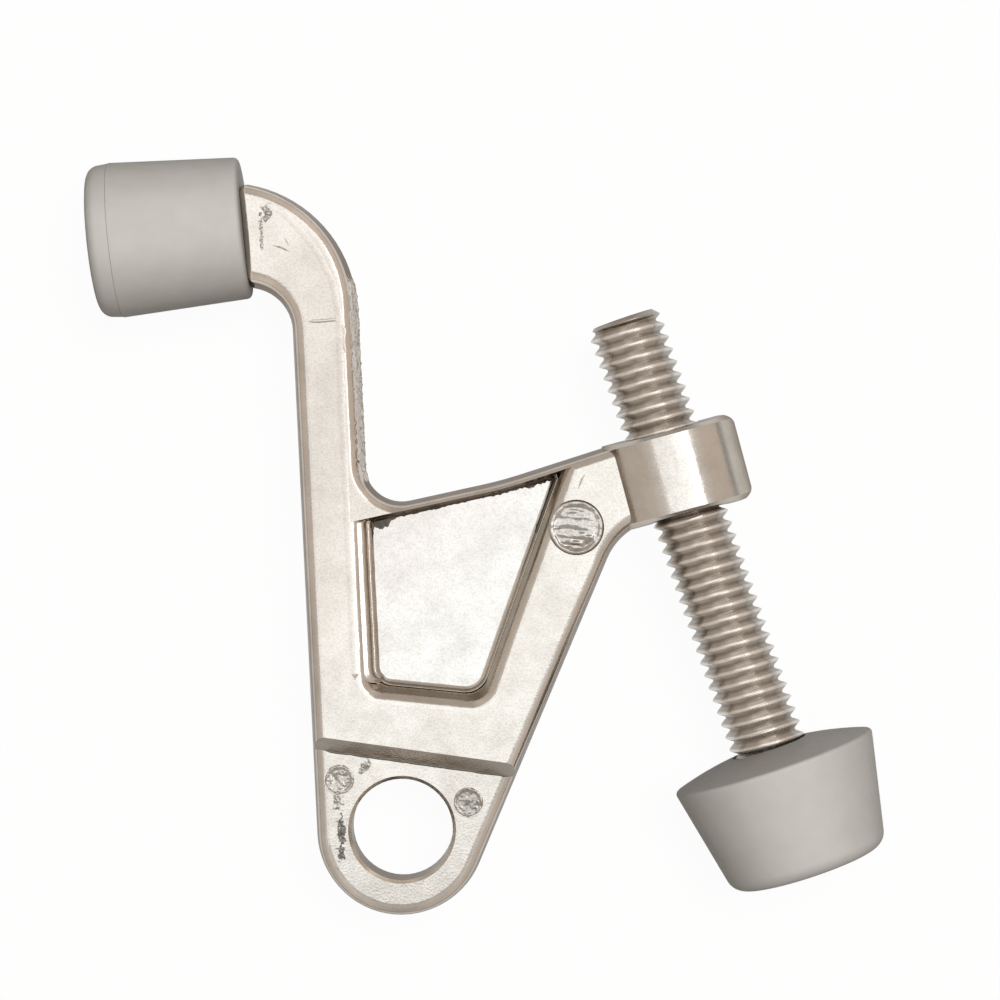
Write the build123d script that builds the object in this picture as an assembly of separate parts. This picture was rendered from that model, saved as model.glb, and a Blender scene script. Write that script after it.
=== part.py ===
from build123d import *
import os
from math import cos, radians, sin, sqrt, tan

# Hinge pin door stop, in millimetres. The origin is the centre of the hinge pin bore on
# the casting's mid-plane. +Z runs up the hinge pin, +Y towards the long arm's rubber tip
# and +X towards the threaded rod. The casting is the same on both sides of the mid-plane,
# where its mould parts, so it can be turned over for a door of the other hand.

# Eye that goes over the hinge pin
bore_radius = 3.85
bore_edge = 0.25
eye_radius = 6.45
eye_centre = Vector(-0.10, -0.25)
eye_half = 2.2
step_height = 5.20
step_angle = -7.9
step_slope = 45.0
step_overlap = 0.5

# Casting
arm_half = 3.25
draft_angle = 6.5
edge_radius = 0.9
long_arm_lean = 2.8
long_arm_width = 5.0
short_arm_lean = 22.8
elbow_radius = 10.0
crook_radius = 3.4
valley_radius = 2.85
armpit_radius = 4.9

# End of the long arm, square to the rubber tip
tip_reach = 12.06
tip_height = 45.84
tip_seat = Vector(-tip_reach, tip_height)
tip_lean = 5.5
end_above = 3.42
end_below = 4.62
end_top_angle = -9.0
end_under_angle = -4.0
end_edge_radius = 0.45
end_spare = 2.5

# Web between the arms, with a recess on each side
web_half = 1.65
web_outer_angle = 17.8
web_inner_angle = 12.4
web_bend_distance = 8.75
web_bend_radius = 30.0
rim_width = 0.64
recess_top_slope = 0.30
recess_arm_gap = 0.38
recess_arm_slope = 1.1
recess_side_angle = 70.5
recess_side_point = Vector(8.22, 17.42)
recess_side_slope = 0.95
recess_floor_angle = -5.6
recess_floor_point = Vector(2.03, 10.99)
recess_floor_slope = 1.15
recess_round_arm = 1.1
recess_round_side = 1.5
recess_edge_radius = 1.1

# Boss that the rod screws through
boss_reach = 20.83
boss_height = 27.13
boss_centre = Vector(boss_reach, boss_height)
boss_lean = 15.0
boss_radius = 5.36
boss_length = 6.75
boss_draft = 3.0
boss_corner = 1.3
boss_corner_start = 0.05
boss_chamfer = 0.5
boss_lip_above = 0.10
boss_lip_below = 0.25

# Marks of the ejector pins and of the gate, on the upper side
gate_mark = Vector(13.2, 22.95)
gate_mark_radius = 2.1
gate_mark_depth = 0.22
ejector_marks = (Vector(-4.75, 3.8), Vector(5.02, 2.1))
ejector_mark_radius = 1.2
ejector_mark_depth = 0.15

# Stud in the rubber tip
stud_radius = 2.2
stud_head_radius = 2.7
stud_head_length = 2.2
stud_length = 8.6
stud_nose_length = 0.7
stud_nose_radius = 1.9
stud_shoulder = 0.35
stud_root = 1.5
socket_start = 1.0

# Rubber tip
tip_near_radius = 5.40
tip_wide_radius = 5.92
tip_ring_from_end = 2.1
tip_end_radius = 5.72
tip_end_wall = 3.4
tip_length = stud_length + tip_end_wall
tip_crown = 0.45
tip_near_chamfer = 0.3
tip_end_round = 1.3
rubber_clearance = 0.02

# Threaded rod
rod_radius = 2.9
rod_chamfer = 0.55
rod_length = 40.0
rod_lean = 18.8
rod_above_boss = 12.4
rod_clearance = 0.06

# Rubber bumper on the rod
bumper_rim_distance = 23.3
bumper_wide_radius = 7.91
bumper_taper = 12.0
bumper_height = 8.7
bumper_dome = 1.3
bumper_wide_chamfer = 0.3
bumper_end_round = 1.3
bumper_floor_gap = 0.3


def heading(angle):
    """The unit vector at an angle from +X, in degrees."""
    return Vector(cos(radians(angle)), sin(radians(angle)))


def meet(point_a, angle_a, point_b, angle_b):
    """Where two lines in the mid-plane cross."""
    a, b = heading(angle_a), heading(angle_b)
    gap = point_b - point_a
    along = (gap.X * b.Y - gap.Y * b.X) / (a.X * b.Y - a.Y * b.X)
    return point_a + a * along


def shifted(point, angle, distance):
    """A point moved to the left of a heading."""
    return point + heading(angle + 90) * distance


# Directions
long_arm_angle = 90 + long_arm_lean
short_arm_angle = 90 - short_arm_lean
boss_angle = 90 + boss_lean
rod_down = heading(rod_lean - 90)
tip_out = heading(180 + tip_lean)
tip_up = heading(90 + tip_lean)

# Lines of the casting's outline, each a point and an angle
eye_left = eye_centre + heading(long_arm_angle + 90) * eye_radius
eye_right = eye_centre + heading(short_arm_angle - 90) * eye_radius
eye_foot = eye_centre + Vector(0, -eye_radius)
arm_inside = shifted(eye_left, long_arm_angle, -long_arm_width)
end_top = tip_seat + tip_up * end_above
end_under = tip_seat - tip_up * end_below
boss_up = heading(boss_angle)
boss_along = heading(boss_lean)
junction = sqrt(boss_radius**2 - arm_half**2)
above_centre = boss_length / 2 - boss_lip_above
below_centre = boss_length / 2 - boss_lip_below
web_start = boss_centre + boss_up * above_centre - boss_along * junction
under_boss = boss_centre - boss_up * below_centre
web_bend = web_start - heading(web_outer_angle) * web_bend_distance

spare_top = end_top + heading(180 + end_top_angle) * end_spare
spare_under = end_under + heading(180 + end_under_angle) * end_spare
elbow = meet(end_top, end_top_angle, arm_inside, long_arm_angle)
crook = meet(end_under, end_under_angle, eye_left, long_arm_angle)
valley = meet(web_bend, web_inner_angle, arm_inside, long_arm_angle)
armpit = meet(eye_right, short_arm_angle, under_boss, boss_lean)
in_boss_top = meet(web_start, web_outer_angle, boss_centre, boss_angle)
in_boss_under = meet(under_boss, boss_lean, boss_centre, boss_angle)


def casting_outline():
    """The outline at the mid-plane, from the eye round by the boss and the long arm."""
    corners = [
        (eye_right, 0),
        (armpit, armpit_radius),
        (in_boss_under, 0),
        (in_boss_top, 0),
        (web_bend, web_bend_radius),
        (valley, valley_radius),
        (elbow, elbow_radius),
        (spare_top, 0),
        (spare_under, 0),
        (crook, crook_radius),
        (eye_left, 0),
    ]
    points = [point for point, _ in corners]
    radii = [radius for _, radius in corners[1:-1]]
    arms = FilletPolyline(*points, radius=radii)
    foot = ThreePointArc(eye_left, eye_foot, eye_right)
    return make_face(arms.edges() + foot.edges())


def mirrored(solid):
    """The solid and its copy on the other side of the mid-plane."""
    return solid + mirror(solid, about=Plane.XY)


def drafted_plate(half):
    """The outline as a plate, drafted and rounded from the mid-plane towards both faces."""
    plate = extrude(casting_outline(), amount=half, taper=draft_angle)
    top = plate.faces().sort_by(Axis.Z)[-1]
    return mirrored(fillet(top.edges(), edge_radius))


def long_arm_end(plate):
    """The plate with the long arm cut off square to the tip, its end face rounded."""
    seat = Plane(origin=tuple(tip_seat), x_dir=tuple(tip_up), z_dir=tuple(tip_out))
    reach = 2 * (end_above + end_below)
    beyond = seat * Pos(0, 0, reach / 2) * Box(reach, reach, reach)
    plate = plate - beyond
    end = plate.faces().sort_by(Axis(tuple(tip_seat), tuple(tip_out)))[-1]
    return fillet(end.edges(), end_edge_radius)


def eye_space():
    """The space past the step, on the eye's side, with the step's sloped walls."""
    over = arm_half
    rise = arm_half + over - eye_half
    run = rise / tan(radians(step_slope))
    depth = 3 * eye_radius
    section = Polyline(
        (0, -eye_half),
        (0, eye_half),
        (run, eye_half + rise),
        (-depth, eye_half + rise),
        (-depth, -eye_half - rise),
        (run, -eye_half - rise),
        close=True,
    )
    across_step = Plane(
        origin=(0, step_height, 0),
        x_dir=tuple(heading(step_angle + 90)),
        z_dir=tuple(heading(step_angle)),
    )
    return extrude(across_step * make_face(section), amount=depth, both=True)


def eye_part():
    """The thinner plate of the eye, kept from just inside the arms downwards."""
    depth = 3 * eye_radius
    step = Plane(
        origin=(0, step_height, 0), x_dir=tuple(heading(step_angle)), z_dir=(0, 0, 1)
    )
    keep = Box(2 * depth, depth, 2 * arm_half)
    keep = step * Pos(0, step_overlap - depth / 2, 0) * keep
    return drafted_plate(eye_half) & keep


def recess_outline(rise):
    """The recess's outline at a height above its floor, rise being 1 at the arm's face."""
    drop = rim_width + recess_top_slope * (1 - rise)
    top_outer = shifted(web_start, web_outer_angle, -drop)
    top_inner = shifted(web_bend, web_inner_angle, -drop)
    arm_line = shifted(
        arm_inside, long_arm_angle, recess_arm_slope * rise - recess_arm_gap
    )
    side_line = shifted(
        recess_side_point, recess_side_angle, -recess_side_slope * rise
    )
    floor_line = shifted(
        recess_floor_point, recess_floor_angle, -recess_floor_slope * rise
    )
    top_by_arm = meet(arm_line, long_arm_angle, top_inner, web_inner_angle)
    top_bend = meet(top_outer, web_outer_angle, top_inner, web_inner_angle)
    top_by_side = meet(side_line, recess_side_angle, top_outer, web_outer_angle)
    low_by_side = meet(side_line, recess_side_angle, floor_line, recess_floor_angle)
    low_by_arm = meet(arm_line, long_arm_angle, floor_line, recess_floor_angle)
    outline = FilletPolyline(
        top_by_arm,
        top_bend,
        top_by_side,
        low_by_side,
        low_by_arm,
        radius=[
            0,
            web_bend_radius,
            0,
            recess_round_side,
            recess_round_arm,
        ],
        close=True,
    )
    return Pos(0, 0, web_half + rise * (arm_half - web_half)) * make_face(outline)


def recess_cut():
    """The recess above the web, its mouth rounded along the arms and the eye.

    The rounding is the hollow edge between the recess and a cover on the arms' faces.
    """
    hollow = loft([recess_outline(0), recess_outline(1)], ruled=True)
    reach = 2 * tip_seat.Y
    cover = Pos(0, 0, 2 * arm_half) * Box(reach, reach, 2 * arm_half)
    tool = hollow + cover
    mouth = [
        edge
        for edge in tool.edges().filter_by_position(Axis.Z, arm_half, arm_half)
        if (edge @ 0.5).Y < valley.Y - valley_radius and (edge @ 0.5).length < reach / 2
    ]
    return fillet(mouth, recess_edge_radius)


def boss_body():
    """A round boss. Its end faces fall away from the mid-plane, as the mould draws.

    The draft takes part of the barrel's chamfers, which are narrowest on top. The corners'
    rounds start just outside the barrel and cross it at a clear angle.
    """
    across = Plane(
        origin=tuple(boss_centre), x_dir=tuple(boss_along), z_dir=tuple(boss_up)
    )
    half = boss_length / 2
    barrel = extrude(across * Circle(boss_radius), amount=half, both=True)
    barrel = chamfer(barrel.edges().filter_by(GeomType.CIRCLE), boss_chamfer)

    reach = 2 * boss_radius
    fall = reach * tan(radians(boss_draft))
    ends = Polyline(
        (half, 0),
        (half - fall, reach),
        (fall - half, reach),
        (-half, 0),
        (fall - half, -reach),
        (half - fall, -reach),
        close=True,
    )
    lengthwise = Plane(
        origin=tuple(boss_centre), x_dir=tuple(boss_up), z_dir=tuple(-boss_along)
    )
    wedge = extrude(lengthwise * make_face(ends), amount=reach, both=True)

    flat = Plane(origin=tuple(boss_centre), x_dir=tuple(boss_along), z_dir=(0, 0, 1))
    window = Pos(boss_corner_start - boss_radius, 0) * Rectangle(2 * reach, boss_length)
    window = fillet(window.vertices().sort_by(Axis.X)[-2:], boss_corner)
    post = extrude(flat * window, amount=reach, both=True)

    return barrel & wedge & post


def tip_frame():
    """Local X across the tip and local Y out along it, from the seat on the arm."""
    return Plane(origin=tuple(tip_seat), x_dir=(0, 0, -1), z_dir=tuple(tip_up))


def rod_frame():
    """Local X across the rod and local Y down along it, from the middle of the boss."""
    across = heading(rod_lean)
    return Plane(origin=tuple(boss_centre), x_dir=(0, 0, 1), z_dir=tuple(across))


def turned(frame, face):
    """A face turned about the local Y of its frame."""
    return revolve(frame * face, Axis(frame.origin, frame.y_dir))


def corner_at(face, x, y):
    """The corners of a profile at one place."""
    return [v for v in face.vertices() if abs(v.X - x) + abs(v.Y - y) < 1e-6]


def stud():
    """The headed stud on the end of the long arm, under the rubber tip."""
    neck_end = stud_length - stud_head_length
    profile = Polyline(
        (0, -stud_root),
        (stud_radius, -stud_root),
        (stud_radius, neck_end),
        (stud_head_radius, neck_end + stud_shoulder),
        (stud_head_radius, stud_length - stud_nose_length),
        (stud_nose_radius, stud_length),
        (0, stud_length),
        close=True,
    )
    return turned(tip_frame(), make_face(profile))


def stud_socket():
    """The blind hole in the rubber tip, the stud's shape with a little room."""
    neck_end = stud_length - stud_head_length
    room = rubber_clearance
    profile = Polyline(
        (0, -socket_start),
        (stud_radius + room, -socket_start),
        (stud_radius + room, neck_end - room),
        (stud_head_radius + room, neck_end + stud_shoulder - room),
        (stud_head_radius + room, stud_length - stud_nose_length + room),
        (stud_nose_radius + room, stud_length + room),
        (0, stud_length + room),
        close=True,
    )
    return turned(tip_frame(), make_face(profile))


def bore_cut():
    """The hinge pin bore, with its edges broken."""
    bore = Cylinder(bore_radius, 3 * eye_half)
    flare = Cone(bore_radius, bore_radius + 2 * bore_edge, 2 * bore_edge)
    return bore + mirrored(Pos(0, 0, eye_half) * flare)


def rod_bore_cut():
    """The hole through the boss, on the rod's axis."""
    start = Plane(origin=tuple(boss_centre), z_dir=tuple(rod_down))
    hole = start * Circle(rod_radius + rod_clearance)
    return extrude(hole, amount=boss_length, both=True)


def sunk_mark(place, radius, depth, level):
    """A round mark sunk a little below a face."""
    return Pos(place.X, place.Y, level) * Cylinder(radius, 2 * depth)


def cast_body():
    """The die casting: arms, eye, web, boss and the stud for the rubber tip."""
    body = long_arm_end(drafted_plate(arm_half)) - eye_space() + eye_part()
    body = body - mirrored(recess_cut())
    body = body + boss_body() - rod_bore_cut() - bore_cut()
    body = body - sunk_mark(gate_mark, gate_mark_radius, gate_mark_depth, arm_half)
    for place in ejector_marks:
        body = body - sunk_mark(place, ejector_mark_radius, ejector_mark_depth, eye_half)
    return body + stud()


def arm_tip():
    """The rubber tip, widest at the ring where its mould parts, with a crowned end."""
    ring = tip_length - tip_ring_from_end
    rim = tip_length - tip_crown
    side = Polyline(
        (0, 0),
        (tip_near_radius, 0),
        (tip_wide_radius, ring),
        (tip_end_radius, rim),
    )
    crown = TangentArc((0, tip_length), (tip_end_radius, rim), tangent=(1, 0))
    axis_side = Line((0, tip_length), (0, 0))
    profile = make_face(side.edges() + crown.edges() + axis_side.edges())
    profile = chamfer(corner_at(profile, tip_near_radius, 0), tip_near_chamfer)
    profile = fillet(corner_at(profile, tip_end_radius, rim), tip_end_round)
    return turned(tip_frame(), profile) - stud_socket()


def rod_span():
    """Where the rod starts and ends along its frame's Y."""
    return -rod_above_boss, rod_length - rod_above_boss


def threaded_rod():
    """The rod to the crests of its thread, chamfered at both ends."""
    top, end = rod_span()
    profile = Polyline(
        (0, top),
        (rod_radius - rod_chamfer, top),
        (rod_radius, top + rod_chamfer),
        (rod_radius, end - rod_chamfer),
        (rod_radius - rod_chamfer, end),
        (0, end),
        close=True,
    )
    return turned(rod_frame(), make_face(profile))


def rod_bumper():
    """The rubber bumper: a blunt cone, domed towards the boss, on the rod's lower end."""
    rim = bumper_rim_distance
    end = rim + bumper_height
    end_radius = bumper_wide_radius - bumper_height * tan(radians(bumper_taper))
    side = Polyline((0, end), (end_radius, end), (bumper_wide_radius, rim))
    dome = TangentArc((0, rim - bumper_dome), (bumper_wide_radius, rim), tangent=(1, 0))
    axis_side = Line((0, rim - bumper_dome), (0, end))
    profile = make_face(side.edges() + dome.edges() + axis_side.edges())
    profile = chamfer(corner_at(profile, bumper_wide_radius, rim), bumper_wide_chamfer)
    profile = fillet(corner_at(profile, end_radius, end), bumper_end_round)

    socket_radius = rod_radius + rod_clearance
    floor = rod_span()[1] + bumper_floor_gap
    socket = Polyline(
        (0, 0), (socket_radius, 0), (socket_radius, floor), (0, floor), close=True
    )
    return turned(rod_frame(), profile) - turned(rod_frame(), make_face(socket))


nodes = {
    "cast_body": cast_body(),
    "arm_tip": arm_tip(),
    "threaded_rod": threaded_rod(),
    "rod_bumper": rod_bumper(),
}

os.makedirs("parts", exist_ok=True)
for name, shape in nodes.items():
    export_step(shape, f"parts/{name}.step")
    print(name, round(shape.volume, 1), shape.bounding_box().size)
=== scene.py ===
import math

import bmesh
import bpy
from mathutils import Matrix, Vector, noise


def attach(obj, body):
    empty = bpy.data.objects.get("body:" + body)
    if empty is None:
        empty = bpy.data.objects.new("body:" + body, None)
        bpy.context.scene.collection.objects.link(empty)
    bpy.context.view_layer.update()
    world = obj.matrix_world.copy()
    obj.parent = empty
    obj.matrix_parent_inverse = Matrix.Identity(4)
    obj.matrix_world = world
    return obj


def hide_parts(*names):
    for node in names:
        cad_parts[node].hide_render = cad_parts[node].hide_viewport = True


# Hinge pin door stop: a nickel-plated casting, a threaded rod and two grey rubber pieces.
# Lengths are in millimetres, and MM turns them into metres. Only lamps are placed in metres.
MM = 0.001

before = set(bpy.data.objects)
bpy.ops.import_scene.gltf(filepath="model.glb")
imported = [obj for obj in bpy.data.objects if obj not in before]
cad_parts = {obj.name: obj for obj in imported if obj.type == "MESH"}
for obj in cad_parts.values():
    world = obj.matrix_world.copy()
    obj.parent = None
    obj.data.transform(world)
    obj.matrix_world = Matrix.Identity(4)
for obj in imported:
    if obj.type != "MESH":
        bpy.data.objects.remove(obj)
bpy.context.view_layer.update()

# Casting, as its solid has it
ARM_HALF = 3.25
EYE_HALF = 2.2
WEB_HALF = 1.65
DRAFT = math.radians(6.5)
EDGE_DEPTH = 0.80
EDGE_ARC = 0.9
EDGE_SLANT = 0.1
EDGE_RISE = 0.86
GATE_MARK = Vector((13.2, 22.95))
GATE_MARK_RADIUS = 2.1
GATE_MARK_DEPTH = 0.22
EJECTOR_MARKS = (Vector((-4.75, 3.8)), Vector((5.02, 2.1)))
EJECTOR_MARK_RADIUS = 1.2
EJECTOR_MARK_DEPTH = 0.15
# Where the painted shade in the recess's corner widens, on the left and on the right
RECESS_SHADE_LEFT = Vector((-1.6, 23.4))
RECESS_SHADE_LEFT_REACH = 1.9
RECESS_SHADE_RIGHT = Vector((10.9, 26.6))
RECESS_SHADE_RIGHT_REACH = 4.2
FLASH_FROM = 24.4
FLASH_TO = 42.5
FLASH_ROWS = 15
FLASH_WALL_SHARE = 0.62
FLASH_EDGE_TURN = math.radians(48)

# Fineness of the marks' meshes, and how near a point counts as on a level
PATCH_CELL = 0.04
OUTLINE_STEP = 0.10
SCORE_STEP = 0.08
CORNER_STEPS = 10
NEAR = 0.01

# Small marks on the casting's faces, as lines of (x, y) and as (centre, level, size, tone)
FACE_LINE = (
    (-10.3, 47.45), (-8.96, 46.70), (-7.47, 45.20), (-6.22, 43.46), (-5.22, 41.46),
    (-4.85, 39.47), (-4.73, 37.98), (-4.50, 31.06), (-4.12, 23.5), (-3.78, 16.34),
    (-3.52, 11.43),
)
# The step line is painted shade in the crease at the foot of the step down to the eye.
STEP_LINE = ((-5.9, 6.0), (8.2, 4.05))
ELBOW_LINE = ((-7.14, 38.49), (-4.99, 38.64), (-4.30, 37.86), (-4.42, 36.9), (-4.20, 36.1))
SCRATCHES = (
    ((13.92, 27.06), (13.60, 26.5), (13.32, 25.81)),
    ((-9.78, 44.27), (-9.1, 44.1), (-8.43, 43.74)),
    ((-8.9, 44.9), (-8.5, 44.2)),
)
BLOTCHES = (
    ((-10.15, 46.75), ARM_HALF, (0.9, 1.2), "dark"),
    ((-10.6, 45.2), ARM_HALF, (0.35, 2.4), "light"),
    ((-2.85, 4.75), EYE_HALF, (0.85, 1.05), "dark"),
    ((-4.62, -0.60), EYE_HALF, (0.62, 3.4), "black"),
    ((-4.85, 2.30), EYE_HALF, (0.75, 1.2), "dark"),
)

# Rubber tip, along its axis from the seat on the long arm
TIP_SEAT = Vector((-12.06, 45.84))
TIP_LEAN = 5.5
TIP_NEAR_RADIUS = 5.40
TIP_WIDE_RADIUS = 5.92
TIP_RING_AT = 9.9
TIP_END_RADIUS = 5.72
TIP_LENGTH = 12.0
TIP_CROWN = 0.45
TIP_SOCKET = 2.22
TIP_SOCKET_DEPTH = 6.0

# Threaded rod, along its axis from the middle of the boss
BOSS_CENTRE = Vector((20.83, 27.13))
ROD_LEAN = 18.8
ROD_TOP = -12.4
ROD_END = 27.6
ROD_CREST = 2.9
ROD_ROOT = 2.37
ROD_PITCH = 1.0
ROD_CHAMFER = 0.55
ROD_END_RINGS = (1.0, 1.9)
THREAD_FROM_RADIUS = 2.0
CREST_SHARE = 0.08
FLANK_SHARE = 0.78
FLANK_CURVE = 0.25
WORN_SHARE = 0.70
WORN_FROM_END = 0.6
END_GROOVE = 0.2
ROWS_PER_PITCH = 14
ROLLING_LINES = 14.0

# Rubber bumper, on the rod's axis
BUMPER_RIM_AT = 23.3
BUMPER_WIDE_RADIUS = 7.91
BUMPER_TAPER = math.radians(12.0)
BUMPER_HEIGHT = 8.7
BUMPER_DOME = 1.3
BUMPER_SOCKET = 2.96
BUMPER_SOCKET_END = 27.9

# Camera, straight above the middle of its frame
VIEW_CENTRE = Vector((7.43, 25.02))
VIEW_HEIGHT = 250.0
LENS = 117.6
SENSOR = 36.0

FLOOR_LEVEL = -7.95
FLOOR_REACH = 1500.0

# Lamps over the part, in metres: a row of panels, each with its reach in X and its
# radiance, and a small strong one that isn't mirrored, with its reach in X and in Y
LAMP_HEIGHT = 1.0
PANEL_ALONG = (-0.138, 0.62)
PANELS = (
    ("overhead", (-0.17, 0.16), 0.72),
    ("overhead_right", (0.16, 0.48), 0.78),
    ("overhead_bright", (0.48, 0.66), 1.9),
    ("overhead_left", (-0.50, -0.17), 0.54),
)
FILL_ACROSS = (0.03, 0.37)
FILL_ALONG = (0.02, 0.36)
FILL_RADIANCE = 37.0

# Colours of the plating on faces and, as painted shade, on rounded edges and steep walls, and of
# the rubber
FACE_COLOUR = (0.91, 0.92, 0.925)
EDGE_SHADE_COLOUR = (0.77, 0.72, 0.665)
WALL_SHADE_COLOUR = (0.52, 0.46, 0.41)
GRAZING_TINT = (0.42, 0.375, 0.34)
RUBBER_COLOUR = (0.308, 0.298, 0.285)
PLAIN = (1.0, 1.0, 1.0)


# Meshes


def heading(angle):
    """The unit vector in the mid-plane at an angle from +X, in degrees."""
    return Vector((math.cos(math.radians(angle)), math.sin(math.radians(angle)), 0))


def rounded(corners):
    """A profile with round corners, from (along, radius, rounding) corners."""
    points = []
    for i, (along, radius, rounding) in enumerate(corners):
        here = Vector((along, radius))
        if not rounding:
            points.append(here)
            continue
        before = (Vector(corners[i - 1][:2]) - here).normalized()
        after = (Vector(corners[i + 1][:2]) - here).normalized()
        half_turn = before.angle(after) / 2
        reach = rounding / math.tan(half_turn)
        centre = here + (before + after).normalized() * rounding / math.sin(half_turn)
        start = here + before * reach - centre
        sweep = math.pi - 2 * half_turn
        side = math.copysign(1, before.cross(after))
        for step in range(CORNER_STEPS + 1):
            turn = Matrix.Rotation(-side * sweep * step / CORNER_STEPS, 2)
            points.append(centre + turn @ start)
    return points


def rod_line():
    """The middle of the boss, and the direction along the rod to its bumper."""
    return Vector((*BOSS_CENTRE, 0)), heading(ROD_LEAN - 90)


def around(centre, reach):
    """The low and high corners of a box about a centre."""
    return centre - Vector(reach), centre + Vector(reach)


def lathe(name, profile, origin, axis, segments=128, shape=None):
    """A turned mesh from (along, radius) points, with an optional change to each radius."""
    axis = axis.normalized()
    across = axis.cross(Vector((0, 0, 1))).normalized()
    up = across.cross(axis)
    bm = bmesh.new()
    rings = []
    for along, radius in profile:
        if radius < 1e-6:
            rings.append([bm.verts.new((origin + axis * along) * MM)])
            continue
        ring = []
        for j in range(segments):
            turn = math.tau * j / segments
            reach = radius if shape is None else shape(along, radius, turn)
            spoke = across * math.cos(turn) + up * math.sin(turn)
            ring.append(bm.verts.new((origin + axis * along + spoke * reach) * MM))
        rings.append(ring)
    for low, high in zip(rings, rings[1:]):
        for j in range(segments):
            k = (j + 1) % segments
            corners = [low[j % len(low)], low[k % len(low)]]
            corners += [high[k % len(high)], high[j % len(high)]]
            bm.faces.new(list(dict.fromkeys(corners)))
    return from_bmesh(name, bm)


def from_bmesh(name, bm, sharp=35):
    """A smooth-shaded object from a bmesh, with edges over an angle kept sharp."""
    bmesh.ops.recalc_face_normals(bm, faces=bm.faces)
    mesh = bpy.data.meshes.new(name)
    bm.to_mesh(mesh)
    bm.free()
    piece = bpy.data.objects.new(name, mesh)
    bpy.context.scene.collection.objects.link(piece)
    mesh.set_sharp_from_angle(angle=math.radians(sharp))
    return piece


def patch(name, corners, inside, level, height, thickness=0.03):
    """A thin rough layer on a face: a grid inside an outline test, raised by a function."""
    low, high = corners
    bm = bmesh.new()
    columns = int((high.x - low.x) / PATCH_CELL)
    rows = int((high.y - low.y) / PATCH_CELL)
    grid = {}
    for i in range(columns + 1):
        for j in range(rows + 1):
            x, y = low.x + i * PATCH_CELL, low.y + j * PATCH_CELL
            if inside(x, y):
                top = level + height(x, y)
                grid[i, j] = bm.verts.new(Vector((x, y, top)) * MM)
    for i, j in grid:
        cell = [grid.get(key) for key in ((i, j), (i + 1, j), (i + 1, j + 1), (i, j + 1))]
        if None not in cell:
            bm.faces.new(cell)
    loose = [vert for vert in bm.verts if not vert.link_faces]
    bmesh.ops.delete(bm, geom=loose, context="VERTS")
    skirt = [edge for edge in bm.edges if edge.is_boundary]
    new = bmesh.ops.extrude_edge_only(bm, edges=skirt)["geom"]
    for vert in new:
        if isinstance(vert, bmesh.types.BMVert):
            vert.co.z = (level - thickness) * MM
    return from_bmesh(name, bm, sharp=60)


def rough(x, y, size, seed):
    """Fractal noise about zero at a place on a face, for features of a size."""
    return noise.fractal(Vector((x / size, y / size, seed)), 1.0, 2.0, 3)


# Materials


def new_material(name):
    """An empty node material, its tree and its principled shader."""
    material = bpy.data.materials.new(name)
    material.use_nodes = True
    tree = material.node_tree
    shader = tree.nodes["Principled BSDF"]
    return material, tree, shader


def node(tree, kind, **values):
    """A node with its properties and unlinked inputs set."""
    made = tree.nodes.new(kind)
    for key, value in values.items():
        if hasattr(made, key):
            setattr(made, key, value)
        else:
            made.inputs[key.replace("_", " ").title()].default_value = value
    return made


def own_place(tree):
    """Coordinates that move with the piece, in metres."""
    return node(tree, "ShaderNodeTexCoord").outputs["Object"]


def grain(tree, size, detail=3.0, roughness=0.5):
    """Noise whose features have a size in millimetres, as a factor about one half."""
    texture = node(tree, "ShaderNodeTexNoise", Scale=1 / (size * MM), Detail=detail)
    texture.inputs["Roughness"].default_value = roughness
    tree.links.new(own_place(tree), texture.inputs["Vector"])
    return texture.outputs["Fac"]


def scaled(colour, factor):
    """A colour made lighter or darker by a factor."""
    return tuple(factor * part for part in colour)


def ramp(tree, source, stops):
    """A colour ramp over a factor, from (position, colour) stops."""
    made = node(tree, "ShaderNodeValToRGB")
    elements = made.color_ramp.elements
    while len(elements) < len(stops):
        elements.new(1.0)
    for element, (position, colour) in zip(elements, stops):
        element.position = position
        element.color = (*colour, 1)
    tree.links.new(source, made.inputs["Fac"])
    return made.outputs["Color"]


def span(tree, source, low, high, start=0.0, end=1.0):
    """A factor stretched from one range to another, held at its ends."""
    made = node(tree, "ShaderNodeMapRange")
    for key, value in (("From Min", start), ("From Max", end), ("To Min", low), ("To Max", high)):
        made.inputs[key].default_value = value
    tree.links.new(source, made.inputs["Value"])
    return made.outputs["Result"]


def number(tree, operation, first, second=None):
    """One step of arithmetic on a factor, with a plain number or none as the second."""
    made = node(tree, "ShaderNodeMath", operation=operation)
    tree.links.new(first, made.inputs[0])
    if isinstance(second, float):
        made.inputs[1].default_value = second
    elif second is not None:
        tree.links.new(second, made.inputs[1])
    return made.outputs[0]


def multiply(tree, first, second, factor=1.0):
    """Two colours multiplied."""
    made = node(tree, "ShaderNodeMix", data_type="RGBA", blend_type="MULTIPLY")
    made.clamp_result = True
    if isinstance(factor, float):
        made.inputs[0].default_value = factor
    else:
        tree.links.new(factor, made.inputs[0])
    tree.links.new(first, made.inputs[6])
    tree.links.new(second, made.inputs[7])
    return made.outputs[2]


def levelness(tree):
    """How level a surface lies, in its piece's own frame: 1 on flats, 0 on upright walls."""
    coordinates = node(tree, "ShaderNodeTexCoord")
    facing = node(tree, "ShaderNodeSeparateXYZ")
    tree.links.new(coordinates.outputs["Normal"], facing.inputs[0])
    return number(tree, "ABSOLUTE", facing.outputs["Z"])


def bump(tree, heights, shader):
    """Bumps added up from (height source, depth in mm, strength) and put on the shader."""
    last = None
    for source, depth, strength in heights:
        made = node(tree, "ShaderNodeBump", Strength=strength, Distance=depth * MM)
        tree.links.new(source, made.inputs["Height"])
        if last is not None:
            tree.links.new(last, made.inputs["Normal"])
        last = made.outputs["Normal"]
    tree.links.new(last, shader.inputs["Normal"])


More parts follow.
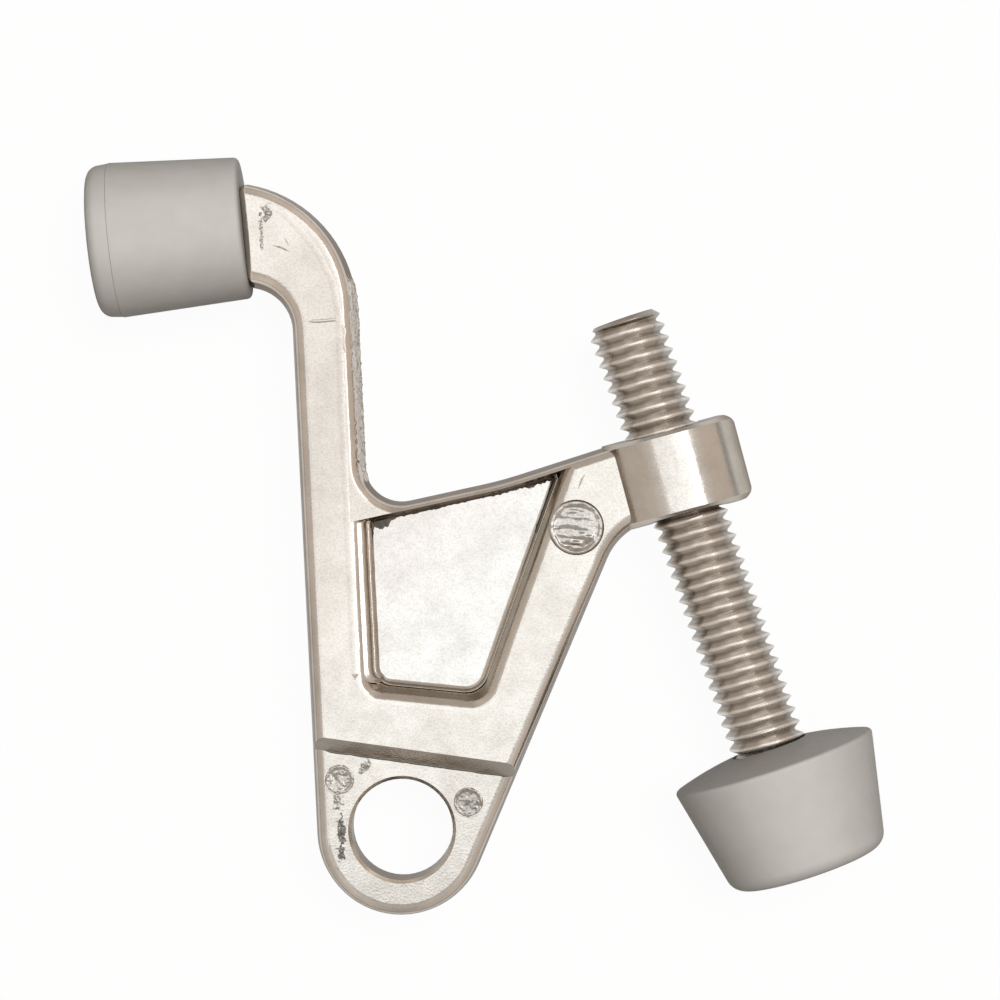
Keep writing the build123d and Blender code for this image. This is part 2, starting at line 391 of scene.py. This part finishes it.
def cast_nickel(name, tone=1.0, worn=0.0, grazing=GRAZING_TINT):
    """Plated casting: bright on its flats, browner where it turns down to its sides, as painted
    shade.

    The web's floors are the whitest. On the long arm the flats are a little darker than the rest,
    and the rounded edges are made lighter as painted light.
    """
    material, tree, shader = new_material(name)
    shader.inputs["Metallic"].default_value = 1.0
    shader.inputs["Specular Tint"].default_value = (*grazing, 1)
    place = node(tree, "ShaderNodeSeparateXYZ")
    tree.links.new(own_place(tree), place.inputs[0])
    level = levelness(tree)
    # Painted shade: the colour goes browner on rounded edges and darker on steep walls, by how
    # level the surface lies.
    painted_light_by_slope = ramp(
        tree,
        level,
        (
            (0.08, scaled(WALL_SHADE_COLOUR, tone)),
            (0.30, scaled(EDGE_SHADE_COLOUR, tone)),
            (0.90, scaled(EDGE_SHADE_COLOUR, tone)),
            (0.98, scaled(FACE_COLOUR, tone)),
        ),
    )
    depth = span(tree, number(tree, "ABSOLUTE", place.outputs["Z"]), 0, 1, 1.7 * MM, 1.9 * MM)
    by_depth = ramp(tree, depth, ((0.0, PLAIN), (1.0, (0.95, 0.93, 0.90))))
    leftward = number(tree, "MULTIPLY", place.outputs["X"], -0.9)
    up_the_arm = number(tree, "ADD", place.outputs["Y"], leftward)
    by_place = ramp(
        tree,
        span(tree, up_the_arm, 0, 1, 10 * MM, 60 * MM),
        (
            (0.06, (1.02, 1.04, 1.04)),
            (0.22, (0.98, 0.97, 0.96)),
            (0.46, (0.865, 0.85, 0.835)),
            (0.74, (0.89, 0.87, 0.85)),
            (0.86, (0.96, 0.95, 0.94)),
        ),
    )
    cloud = ramp(
        tree,
        grain(tree, 2.6, detail=6.0, roughness=0.68),
        ((0.34, (0.87, 0.86, 0.845)), (0.60, PLAIN)),
    )
    speck = ramp(
        tree,
        grain(tree, 0.17, detail=2.0),
        ((0.34, (0.86 - worn, 0.86 - worn, 0.85 - worn)), (0.56, PLAIN)),
    )
    speckled = ramp(tree, level, ((0.90, (0.15,) * 3), (0.985, (0.9,) * 3)))
    # Painted light: on the long arm the rounded edges' colour is raised about 1.3 times.
    lift = ramp(
        tree,
        level,
        (
            (0.26, PLAIN),
            (0.40, (1.30, 1.31, 1.32)),
            (0.90, (1.30, 1.31, 1.32)),
            (0.98, PLAIN),
        ),
    )
    painted_light_by_slope = multiply(tree, painted_light_by_slope, lift, span(tree, up_the_arm, 0, 1, 20 * MM, 30 * MM))
    colour = multiply(tree, multiply(tree, painted_light_by_slope, by_depth), by_place)
    colour = multiply(tree, multiply(tree, colour, cloud), speck, speckled)
    tree.links.new(colour, shader.inputs["Base Color"])
    gloss = span(tree, grain(tree, 0.9, detail=4.0), 0.12, 0.21, 0.3, 0.7)
    tree.links.new(gloss, shader.inputs["Roughness"])
    bump(
        tree,
        (
            (grain(tree, 2.4, detail=2.0), 0.05, 0.35),
            (grain(tree, 0.17, detail=2.0), 0.014, 0.42),
        ),
        shader,
    )
    return material


def thread_steel():
    """Plated rod, with painted shade in the grooves and on the flanks of its thread, so its
    crests stay lighter.
    """
    material, tree, shader = new_material("thread_steel")
    shader.inputs["Metallic"].default_value = 1.0
    # Painted shade by depth in the thread: light crests, darker flanks and darkest roots.
    depth = node(tree, "ShaderNodeAttribute", attribute_name="groove")
    colour = ramp(
        tree,
        depth.outputs["Fac"],
        (
            (0.0, (0.95, 0.92, 0.88)),
            (0.12, (0.88, 0.84, 0.79)),
            (0.30, (0.54, 0.50, 0.455)),
            (0.80, (0.49, 0.45, 0.40)),
            (1.0, (0.33, 0.29, 0.25)),
        ),
    )
    tarnish = ramp(
        tree,
        grain(tree, 0.7, detail=4.0),
        ((0.35, (0.88, 0.86, 0.83)), (0.65, PLAIN)),
    )
    tree.links.new(multiply(tree, colour, tarnish), shader.inputs["Base Color"])
    gloss = span(tree, grain(tree, 0.35, detail=3.0), 0.20, 0.36, 0.3, 0.7)
    tree.links.new(gloss, shader.inputs["Roughness"])
    lines = node(tree, "ShaderNodeTexNoise", noise_dimensions="1D", Scale=1.0, Detail=2.0)
    along = node(tree, "ShaderNodeAttribute", attribute_name="along")
    tree.links.new(along.outputs["Fac"], lines.inputs["W"])
    bump(
        tree,
        ((lines.outputs["Fac"], 0.03, 0.55), (grain(tree, 0.12, detail=3.0), 0.01, 0.4)),
        shader,
    )
    return material


def grey_rubber():
    """Moulded grey rubber, matt, with a faint mottle and a fine skin, and painted shade that
    darkens its sides.
    """
    material, tree, shader = new_material("grey_rubber")
    colour = ramp(
        tree,
        grain(tree, 1.6, detail=5.0),
        (
            (0.3, scaled(RUBBER_COLOUR, 0.97)),
            (0.7, scaled(RUBBER_COLOUR, 1.03)),
        ),
    )
    # Painted shade: the rubber's colour is darker where its surface turns upright.
    painted_light_by_slope = ramp(
        tree,
        levelness(tree),
        ((0.30, (0.72, 0.725, 0.71)), (0.80, (0.88, 0.882, 0.875)), (0.98, PLAIN)),
    )
    tree.links.new(multiply(tree, colour, painted_light_by_slope), shader.inputs["Base Color"])
    gloss = span(tree, grain(tree, 0.5, detail=3.0), 0.52, 0.64, 0.3, 0.7)
    tree.links.new(gloss, shader.inputs["Roughness"])
    shader.inputs["Specular IOR Level"].default_value = 0.12
    bump(
        tree,
        ((grain(tree, 0.09, detail=2.0), 0.006, 0.5), (grain(tree, 0.8, detail=2.0), 0.01, 0.3)),
        shader,
    )
    return material


# Pieces


def settle(piece, body, material):
    """Puts a piece on its body with its slot and its material."""
    piece.data.materials.clear()
    piece.data.materials.append(material)
    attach(piece, body)


def rubber_tip(material):
    """The tip on the long arm: a barrel that widens to its parting ring, with a crown."""
    side = rounded(
        [
            (TIP_SOCKET_DEPTH, TIP_SOCKET, 0),
            (0.0, TIP_SOCKET, 0.15),
            (0.0, TIP_NEAR_RADIUS, 0.4),
            (TIP_RING_AT - 0.06, TIP_WIDE_RADIUS - 0.004, 0),
            (TIP_RING_AT, TIP_WIDE_RADIUS, 0),
            (TIP_RING_AT + 0.05, TIP_WIDE_RADIUS - 0.07, 0),
            (TIP_RING_AT + 0.16, TIP_WIDE_RADIUS - 0.05, 0),
            (TIP_LENGTH - TIP_CROWN, TIP_END_RADIUS, 0.95),
            (TIP_LENGTH - 0.02, 1.2, 0),
            (TIP_LENGTH, 0, 0),
        ]
    )
    profile = [Vector((TIP_SOCKET_DEPTH, 0)), *side]
    origin = Vector((*TIP_SEAT, 0))
    piece = lathe("arm_tip_rubber", profile, origin, heading(180 + TIP_LEAN))
    settle(piece, "casting", material)
    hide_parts("arm_tip")


def rubber_bumper(material):
    """The bumper on the rod: a blunt cone, domed round the rod."""
    end = BUMPER_RIM_AT + BUMPER_HEIGHT
    end_radius = BUMPER_WIDE_RADIUS - BUMPER_HEIGHT * math.tan(BUMPER_TAPER)
    dome = []
    steps = 14
    for step in range(steps):
        radius = BUMPER_SOCKET + (BUMPER_WIDE_RADIUS - BUMPER_SOCKET) * step / steps
        share = radius / BUMPER_WIDE_RADIUS
        dome.append((BUMPER_RIM_AT - BUMPER_DOME * (1 - share**2), radius, 0))
    profile = rounded(
        [
            (BUMPER_SOCKET_END, 0, 0),
            (BUMPER_SOCKET_END, BUMPER_SOCKET, 0),
            *dome,
            (BUMPER_RIM_AT, BUMPER_WIDE_RADIUS, 0.3),
            (end, end_radius, 1.35),
            (end, 0, 0),
        ]
    )
    piece = lathe("bumper_rubber", profile, *rod_line(), segments=160)
    settle(piece, "bumper", material)
    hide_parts("rod_bumper")


def thread_radius(along, turn):
    """The rod's radius at a place: a right-hand thread with rounded crests and roots."""
    phase = (along / ROD_PITCH - turn / math.tau) % 1.0
    from_crest = abs(phase - 0.5) * 2
    flank = min(max((from_crest - CREST_SHARE) / FLANK_SHARE, 0.0), 1.0)
    fall = flank * flank * (3 - 2 * flank) * FLANK_CURVE + flank * (1 - FLANK_CURVE)
    return ROD_CREST - (ROD_CREST - ROD_ROOT) * fall


def on_rod(vert):
    """A vertex's place along the rod from the middle of the boss, and its spoke."""
    origin, axis = rod_line()
    place = vert.co / MM - origin
    return place.dot(axis), place - axis * place.dot(axis)


def worn_round(mesh):
    """Shades the thread as worn: its flanks lean towards the rod's own round."""
    normals = []
    for vert in mesh.vertices:
        along, spoke = on_rod(vert)
        threaded = ROD_TOP + WORN_FROM_END < along < ROD_END - WORN_FROM_END
        share = WORN_SHARE if threaded and spoke.length > THREAD_FROM_RADIUS else 0.0
        normals.append(vert.normal.lerp(spoke.normalized(), share).normalized())
    mesh.normals_split_custom_set_from_vertices(normals)


def rod_thread(material):
    """The rod with its whole thread, chamfered at both ends."""
    rows = int((ROD_END - ROD_TOP) * ROWS_PER_PITCH / ROD_PITCH)
    profile = [(ROD_TOP, radius) for radius in (0, *ROD_END_RINGS)]
    for row in range(rows + 1):
        profile.append((ROD_TOP + (ROD_END - ROD_TOP) * row / rows, ROD_CREST))
    profile += [(ROD_END, radius) for radius in (*reversed(ROD_END_RINGS), 0)]

    def shape(along, radius, turn):
        if radius < ROD_CREST:
            return radius
        from_end = min(along - ROD_TOP, ROD_END - along)
        return min(thread_radius(along, turn), ROD_CREST - ROD_CHAMFER + from_end)

    piece = lathe("rod_thread", profile, *rod_line(), segments=96, shape=shape)
    groove = piece.data.attributes.new("groove", "FLOAT", "POINT")
    lines = piece.data.attributes.new("along", "FLOAT", "POINT")
    for vert in piece.data.vertices:
        along, spoke = on_rod(vert)
        lines.data[vert.index].value = along * ROLLING_LINES
        share = min(max((ROD_CREST - spoke.length) / (ROD_CREST - ROD_ROOT), 0.0), 1.0)
        threaded = spoke.length > THREAD_FROM_RADIUS
        groove.data[vert.index].value = share if threaded else END_GROOVE
    worn_round(piece.data)
    settle(piece, "rod", material)
    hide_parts("threaded_rod")


def gate_scar(material):
    """The broken gate: torn ridges across a round mark, inside a raised ring."""
    radius = GATE_MARK_RADIUS + 0.05

    def inside(x, y):
        return (Vector((x, y)) - GATE_MARK).length < radius

    def height(x, y):
        off = Vector((x, y)) - GATE_MARK
        share = off.length / radius
        lower = smooth(-off.y / radius, -0.15, 0.75)
        ridge = noise.noise(Vector((off.x / 2.2, (off.y + 0.12 * off.x) / 0.42, 3.1)))
        ridge += 0.5 * noise.noise(Vector((off.x / 0.6, off.y / 0.26, 7.7)))
        lumps = noise.noise(Vector((off.x / 0.5, off.y / 0.42, 1.9)))
        ring = math.exp(-(((share - 0.88) / 0.10) ** 2))
        hollow = max(0.0, 1 - (share / 0.86) ** 6)
        torn = 0.16 + (0.06 + 0.12 * lower) * ridge + 0.10 * lower * lumps
        torn += 0.03 * off.y / radius - 0.22 * smooth(-off.y / radius, 0.35, 0.95)
        return 0.02 + hollow * max(-0.02, torn) + 0.20 * ring * (1 + 0.25 * lumps)

    floor = ARM_HALF - GATE_MARK_DEPTH
    corners = around(GATE_MARK, (radius, radius))
    piece = patch("gate_scar", corners, inside, floor, height, thickness=0.25)
    settle(piece, "casting", material)


def ejector_scar(name, centre, seed, material):
    """A rough disc pushed up in an ejector pin's mark."""
    radius = EJECTOR_MARK_RADIUS - 0.04

    def inside(x, y):
        off = Vector((x, y)) - centre
        return off.length < radius * (0.97 + 0.05 * rough(x, y, 0.8, seed))

    def height(x, y):
        off = Vector((x, y)) - centre
        share = off.length / radius
        lump = 0.06 * rough(x, y, 0.55, seed + 2.5)
        rim = max(0.0, 1 - abs(share - 0.86) / 0.16)
        return max(0.02, 0.07 + lump + 0.07 * rim)

    floor = EYE_HALF - EJECTOR_MARK_DEPTH
    piece = patch(name, around(centre, (radius, radius)), inside, floor, height)
    settle(piece, "casting", material)


def edge_chains(mesh, keep):
    """Chains of points along the edges whose ends and two normals pass a test."""
    beside = {}
    for face in mesh.polygons:
        corners = [mesh.vertices[index].co / MM for index in face.vertices]
        corners = [tuple(round(part, 4) for part in corner) for corner in corners]
        for pair in zip(corners, corners[1:] + corners[:1]):
            beside.setdefault(tuple(sorted(pair)), []).append(face.normal.copy())
    links = {}
    for (a, b), normals in beside.items():
        if a != b and len(normals) == 2 and keep(Vector(a), Vector(b), *normals):
            links.setdefault(a, set()).add(b)
            links.setdefault(b, set()).add(a)
    chains = []
    while links:
        start = min(links, key=lambda point: (len(links[point]), point))
        chain = [start]
        while links.get(chain[-1]):
            here = chain[-1]
            after = min(links[here])
            links[here].discard(after)
            links[after].discard(here)
            chain.append(after)
        for point in chain:
            if point in links and not links[point]:
                del links[point]
        chains.append([Vector(point) for point in chain])
    return sorted(chains, key=chain_length, reverse=True)


def turned_left(chain):
    """A closed chain in the order that keeps its inside on the left, seen from above."""
    area = sum(a.x * b.y - a.y * b.x for a, b in zip(chain, chain[1:]))
    return chain if area > 0 else chain[::-1]


def chain_length(chain):
    """The length of a chain of points."""
    return sum((b - a).length for a, b in zip(chain, chain[1:]))


def evenly(chain, step):
    """Points along a chain at about an even step."""
    total = chain_length(chain)
    count = max(2, int(total / step))
    points = []
    walked, index = 0.0, 0
    for k in range(count + 1):
        target = total * k / count
        while index < len(chain) - 2:
            reach = (chain[index + 1] - chain[index]).length
            if walked + reach >= target:
                break
            walked += reach
            index += 1
        span_here = (chain[index + 1] - chain[index]).length
        share = min(1.0, max(0.0, (target - walked) / span_here))
        points.append(chain[index].lerp(chain[index + 1], share))
    return points


def ribbon(name, points, section, closed=False):
    """A strip along points: section(k, point, right) gives the points across it."""
    bm = bmesh.new()
    rows = []
    count = len(points)
    for k, point in enumerate(points):
        before = points[(k - 1) % count] if closed else points[max(k - 1, 0)]
        after = points[(k + 1) % count] if closed else points[min(k + 1, count - 1)]
        ahead = after - before
        right = Vector((ahead.y, -ahead.x, 0)).normalized()
        rows.append([bm.verts.new(place * MM) for place in section(k, point, right)])
    pairs = list(zip(rows, rows[1:]))
    if closed:
        pairs.append((rows[-1], rows[0]))
    for low, high in pairs:
        for j in range(len(low) - 1):
            bm.faces.new((low[j], low[j + 1], high[j + 1], high[j]))
    return from_bmesh(name, bm, sharp=80)


def smooth(value, low, high):
    """A smooth step from 0 at low to 1 at high."""
    share = min(max((value - low) / (high - low), 0.0), 1.0)
    return share * share * (3 - 2 * share)


def web_outline(mesh, side):
    """The outline of the recess's floor on one side of the casting, at an even step."""

    def keep(a, b, first, second):
        level = side * WEB_HALF
        flats = sum(1 for normal in (first, second) if abs(normal.z) > 0.999)
        return abs(a.z - level) < NEAR and abs(b.z - level) < NEAR and flats == 1

    chain = turned_left(edge_chains(mesh, keep)[0])
    return evenly(chain, OUTLINE_STEP)[:-1]


def recess_root(name, outline, side, material):
    """The rounded foot of the recess's walls. Along the long arm it has two flow lines."""
    plain = (
        (-0.30, -0.02), (-0.18, 0.005), (-0.08, 0.03), (0.0, 0.085),
        (0.10, 0.18), (0.19, 0.30), (0.27, 0.44), (0.30, 0.55),
        (0.29, 0.56), (0.29, 0.56), (0.29, 0.56), (0.29, 0.56),
        (0.28, 0.55), (0.28, 0.55), (0.27, 0.54), (0.26, 0.54),
    )
    lined = (
        (-0.12, -0.02), (-0.04, 0.02), (0.03, 0.18), (0.09, 0.43),
        (0.15, 0.52), (0.26, 0.55), (0.38, 0.585), (0.45, 0.72),
        (0.50, 1.00), (0.57, 1.24), (0.66, 1.32), (0.84, 1.36),
        (1.02, 1.395), (1.13, 1.43), (1.22, 1.475), (1.32, 1.52),
    )

    def section(k, point, outward):
        by_arm = smooth(-outward.x, 0.55, 0.995)
        upper = smooth(outward.y, 0.5, 0.9)
        wave = 0.03 * rough(point.x, point.y, 1.6, 4.0) * by_arm
        places = []
        for (o1, h1), (o2, h2) in zip(plain, lined):
            o1 *= 1 - 0.62 * upper
            reach = o1 + (o2 - o1) * by_arm + wave
            height = h1 + (h2 - h1) * by_arm
            places.append(point + outward * reach + Vector((0, 0, side * height)))
        return places

    piece = ribbon(name, outline, section, closed=True)
    settle(piece, "casting", material)


def recess_shade_line(name, outline, side, material):
    """A dark ragged sheet of painted shade in the corner under the web's upper rim."""
    points = []
    for k, point in enumerate(outline):
        ahead = outline[(k + 1) % len(outline)] - outline[k - 1]
        place = Vector(point[:2])
        under_rim = -ahead.x / ahead.length > 0.55
        by_left = (place - RECESS_SHADE_LEFT).length < RECESS_SHADE_LEFT_REACH
        by_right = (place - RECESS_SHADE_RIGHT).length < RECESS_SHADE_RIGHT_REACH
        if under_rim or by_left or by_right:
            points.append(point)
    start = max(range(len(points)), key=lambda k: (points[k] - points[k - 1]).length)
    points = points[start:] + points[:start]

    def section(k, point, outward):
        upper = smooth(outward.y, 0.4, 0.9)
        place = Vector(point[:2])
        torn = 0.9 * rough(point.x, point.y, 0.42, 9.0) + 0.6 * rough(point.x, point.y, 1.7, 2.0)
        blot = math.exp(-(((place - RECESS_SHADE_LEFT).length / 0.75) ** 2))
        thick = math.exp(-(((place - RECESS_SHADE_RIGHT).length / 2.4) ** 2))
        ends = min(1.0, min(k, len(points) - 1 - k) / 6)
        wide = 0.05 + 0.07 * upper + 0.13 * thick * upper + 0.75 * blot
        wide *= max(0.35, 0.9 + torn * (1 - 0.8 * blot)) * ends
        climb = (0.10 + 0.30 * thick + 0.35 * blot) * upper
        return [
            point + outward * (-wide) + Vector((0, 0, side * -0.01)),
            point + outward * (-wide * 0.8) + Vector((0, 0, side * 0.035)),
            point + outward * (-wide * 0.3) + Vector((0, 0, side * 0.09)),
            point + outward * (0.02 - 0.02 * upper) + Vector((0, 0, side * (0.18 + 0.3 * climb))),
            point + outward * (0.10 - 0.04 * upper) + Vector((0, 0, side * (0.30 + 0.7 * climb))),
            point + outward * (0.28 - 0.12 * upper) + Vector((0, 0, side * (0.33 + climb))),
        ]

    piece = ribbon(name, points, section)
    settle(piece, "casting", material)


def parting_line(mesh, material):
    """Lumps of flash over the long arm's inner wall and its edges, where the mould parts."""

    def keep(a, b, first, second):
        return abs(a.z) < NEAR and abs(b.z) < NEAR

    outer = turned_left(edge_chains(mesh, keep)[0])
    points = evenly(outer, OUTLINE_STEP)
    chosen = []
    for k in range(1, len(points) - 1):
        ahead = points[k + 1] - points[k - 1]
        side_x = ahead.y / ahead.length
        if side_x > 0.80 and FLASH_FROM < points[k].y < FLASH_TO and points[k].x < 0:
            chosen.append(points[k])
    wall_top = ARM_HALF - EDGE_DEPTH
    lean = math.tan(DRAFT)
    rows = []
    for step in range(-FLASH_ROWS, FLASH_ROWS + 1):
        share = abs(step) / FLASH_ROWS
        if share < FLASH_WALL_SHARE:
            height = wall_top * share / FLASH_WALL_SHARE
            rows.append((step, height * lean, height, 1.0, lean))
        else:
            turn = FLASH_EDGE_TURN * (share - FLASH_WALL_SHARE) / (1 - FLASH_WALL_SHARE)
            out, rise = math.cos(turn), math.sin(turn)
            inward = wall_top * lean + EDGE_ARC * (1 - out) + EDGE_SLANT * rise
            rows.append((step, inward, wall_top + EDGE_RISE * rise, out, rise))

    def section(k, point, outward):
        ends = min(1.0, min(k, len(chosen) - 1 - k) / 10)
        places = []
        for step, inward, height, out, rise in rows:
            up = math.copysign(1, step)
            lump = rough(point.y, up * height * 0.7, 0.34, 6.0)
            lump += 0.4 * rough(point.y, step / 9, 1.3, 3.0)
            edge = 1 - (abs(step) / FLASH_ROWS) ** 6
            lift = (0.03 + 0.15 * max(-0.15, lump)) * ends * edge - 0.04 * (1 - ends * edge)
            flash = 0.07 * math.exp(-((height / 0.10) ** 2)) * ends
            reach = lift * out + flash - inward
            places.append(point + outward * reach + Vector((0, 0, up * (height + lift * rise))))
        return places

    piece = ribbon("parting_flash", chosen, section)
    settle(piece, "casting", material)


def score(name, corners, level, material, width, height):
    """A low ridge on a face along a broken line, thinner at its ends."""
    places = [Vector((x, y, level)) for x, y in corners]
    points = evenly(places, SCORE_STEP)
    last = len(points) - 1

    def section(k, point, right):
        ends = min(1.0, (min(k, last - k) + 0.3) / 6)
        wander = 0.04 * rough(point.x, point.y, 1.1, 3.0)
        across = []
        for share, rise in ((-1, -0.4), (-0.75, 0.05), (-0.35, 1.0), (0.2, 0.75), (1, -0.1)):
            reach = wander + share * width / 2 * ends
            across.append(point + right * reach + Vector((0, 0, rise * height * ends)))
        return across

    piece = ribbon(name, points, section)
    settle(piece, "casting", material)


def blotch(name, centre, level, size, seed, material):
    """A small rough patch on a face, ragged at its rim."""

    def edge(x, y):
        off = Vector(((x - centre.x) / size[0], (y - centre.y) / size[1])) * 2
        return off.length + 0.9 * rough(x, y, 0.45, seed)

    def inside(x, y):
        return edge(x, y) < 1.0

    def height(x, y):
        rim = min(1.0, 2.5 * (1 - edge(x, y)))
        return 0.004 + 0.075 * rim * max(0.0, 0.35 + rough(x, y, 0.30, seed + 4.0))

    corners = around(centre, Vector(size) * 0.7)
    piece = patch(name, corners, inside, level, height)
    settle(piece, "casting", material)


# Stage


def softbox(name, across, along, radiance, mirrored=True):
    """A level rectangular lamp over the part, by its reach in X and Y and its radiance."""
    width = across[1] - across[0]
    depth = along[1] - along[0]
    light = bpy.data.lights.new(name, "AREA")
    light.shape = "RECTANGLE"
    light.size = width
    light.size_y = depth
    light.energy = radiance * math.pi * width * depth
    lamp = bpy.data.objects.new(name, light)
    lamp.location = (sum(across) / 2, sum(along) / 2, LAMP_HEIGHT)
    lamp.visible_glossy = mirrored
    bpy.context.scene.collection.objects.link(lamp)


def world_light():
    """Warm grey all round, lighter towards the left and right than in between."""
    world = bpy.data.worlds.new("studio")
    bpy.context.scene.world = world
    world.use_nodes = True
    tree = world.node_tree
    background = tree.nodes["Background"]
    coordinates = node(tree, "ShaderNodeTexCoord")
    parts = node(tree, "ShaderNodeSeparateXYZ")
    tree.links.new(coordinates.outputs["Generated"], parts.inputs[0])
    colour = ramp(
        tree,
        span(tree, parts.outputs["X"], 0, 1, -1, 1),
        (
            (0.04, (0.56, 0.51, 0.47)),
            (0.30, (0.64, 0.58, 0.535)),
            (0.50, (0.44, 0.395, 0.355)),
            (0.75, (0.66, 0.59, 0.545)),
            (0.97, (0.60, 0.53, 0.485)),
        ),
    )
    tree.links.new(colour, background.inputs["Color"])
    background.inputs["Strength"].default_value = 1.0


def floor_plane():
    """A pale floor that keeps the part's shadow: white to the eye, and dimmer in reflections as
    painted shade, its glow there 0.72 near the middle and 0.34 beyond 90 mm.
    """
    bm = bmesh.new()
    bmesh.ops.create_grid(bm, x_segments=8, y_segments=8, size=FLOOR_REACH * MM)
    for vert in bm.verts:
        vert.co.z = FLOOR_LEVEL * MM
    floor = from_bmesh("floor", bm)
    material, tree, shader = new_material("floor_paper")
    shader.inputs["Base Color"].default_value = (0.45, 0.435, 0.41, 1)
    shader.inputs["Roughness"].default_value = 0.9
    shader.inputs["Specular IOR Level"].default_value = 0.0
    white = node(tree, "ShaderNodeEmission")
    white.inputs["Color"].default_value = (1, 1, 1, 1)
    path = node(tree, "ShaderNodeLightPath")
    # Painted shade in reflections: glossy rays see the floor's glow dimmed, more so further from
    # the middle.
    distance = node(tree, "ShaderNodeVectorMath", operation="DISTANCE")
    distance.inputs[1].default_value = Vector((*VIEW_CENTRE, FLOOR_LEVEL)) * MM
    tree.links.new(own_place(tree), distance.inputs[0])
    loss = span(tree, distance.outputs["Value"], -0.28, -0.66, 50 * MM, 90 * MM)
    dimming = number(tree, "MULTIPLY", path.outputs["Is Glossy Ray"], loss)
    tree.links.new(number(tree, "ADD", dimming, 1.0), white.inputs["Strength"])
    seen = number(tree, "MAXIMUM", path.outputs["Is Camera Ray"], path.outputs["Is Glossy Ray"])
    seen = number(tree, "MAXIMUM", seen, path.outputs["Is Transmission Ray"])
    mix = node(tree, "ShaderNodeMixShader")
    tree.links.new(number(tree, "MULTIPLY", seen, 0.96), mix.inputs["Fac"])
    tree.links.new(shader.outputs[0], mix.inputs[1])
    tree.links.new(white.outputs[0], mix.inputs[2])
    tree.links.new(mix.outputs[0], tree.nodes["Material Output"].inputs["Surface"])
    floor.data.materials.append(material)


def camera():
    """The view straight down on the part."""
    data = bpy.data.cameras.new("camera")
    data.lens = LENS
    data.sensor_width = SENSOR
    eye = bpy.data.objects.new("camera", data)
    eye.location = Vector((*VIEW_CENTRE, VIEW_HEIGHT)) * MM
    bpy.context.scene.collection.objects.link(eye)
    bpy.context.scene.camera = eye


camera()
floor_plane()
world_light()
for name, across, radiance in PANELS:
    softbox(name, across, PANEL_ALONG, radiance)
softbox("fill", FILL_ACROSS, FILL_ALONG, FILL_RADIANCE, mirrored=False)

nickel = cast_nickel("cast_nickel")
torn_nickel = cast_nickel("torn_nickel", tone=0.80, worn=0.2)
pitted = cast_nickel("pitted_nickel", tone=0.64, worn=0.3)
rubber = grey_rubber()

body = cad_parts["cast_body"]
body.data.materials.clear()
body.data.materials.append(nickel)
rubber_tip(rubber)
rubber_bumper(rubber)
rod_thread(thread_steel())
gate_scar(torn_nickel)
for index, place in enumerate(EJECTOR_MARKS):
    metal = pitted if index else torn_nickel
    ejector_scar(f"ejector_scar_{index + 1}", place, 5.0 * index + 1, metal)
# A much darker copy of the plating: painted shade in the recess and along the step line, and the
# black blotch
darkest_nickel = cast_nickel("darkest_plating", tone=0.30)
for name, side in (("upper", 1), ("lower", -1)):
    outline = web_outline(body.data, side)
    recess_root(f"recess_root_{name}", outline, side, nickel)
    recess_shade_line(f"recess_shade_line_{name}", outline, side, darkest_nickel)
# The flash gets a lighter copy of the plating, 1.28 times its tone: painted light on the long
# arm's inner wall.
parting_line(body.data, cast_nickel("lit_flash_nickel", tone=1.28, grazing=(0.95, 0.92, 0.88)))
score("face_line", FACE_LINE, ARM_HALF, nickel, width=0.62, height=0.034)
score("elbow_line", ELBOW_LINE, ARM_HALF, nickel, width=0.30, height=0.03)
# Painted shade along the crease at the foot of the step down to the eye
score("step_line", STEP_LINE, EYE_HALF, darkest_nickel, width=0.22, height=0.05)
for index, line in enumerate(SCRATCHES):
    score(f"scratch_{index + 1}", line, ARM_HALF, torn_nickel, width=0.16, height=0.03)
metals = {"dark": pitted, "light": torn_nickel, "black": darkest_nickel}
for index, (centre, level, size, tone) in enumerate(BLOTCHES):
    blotch(f"blotch_{index + 1}", Vector(centre), level, size, 2.0 + 7 * index, metals[tone])

bpy.context.scene.view_settings.view_transform = "Standard"
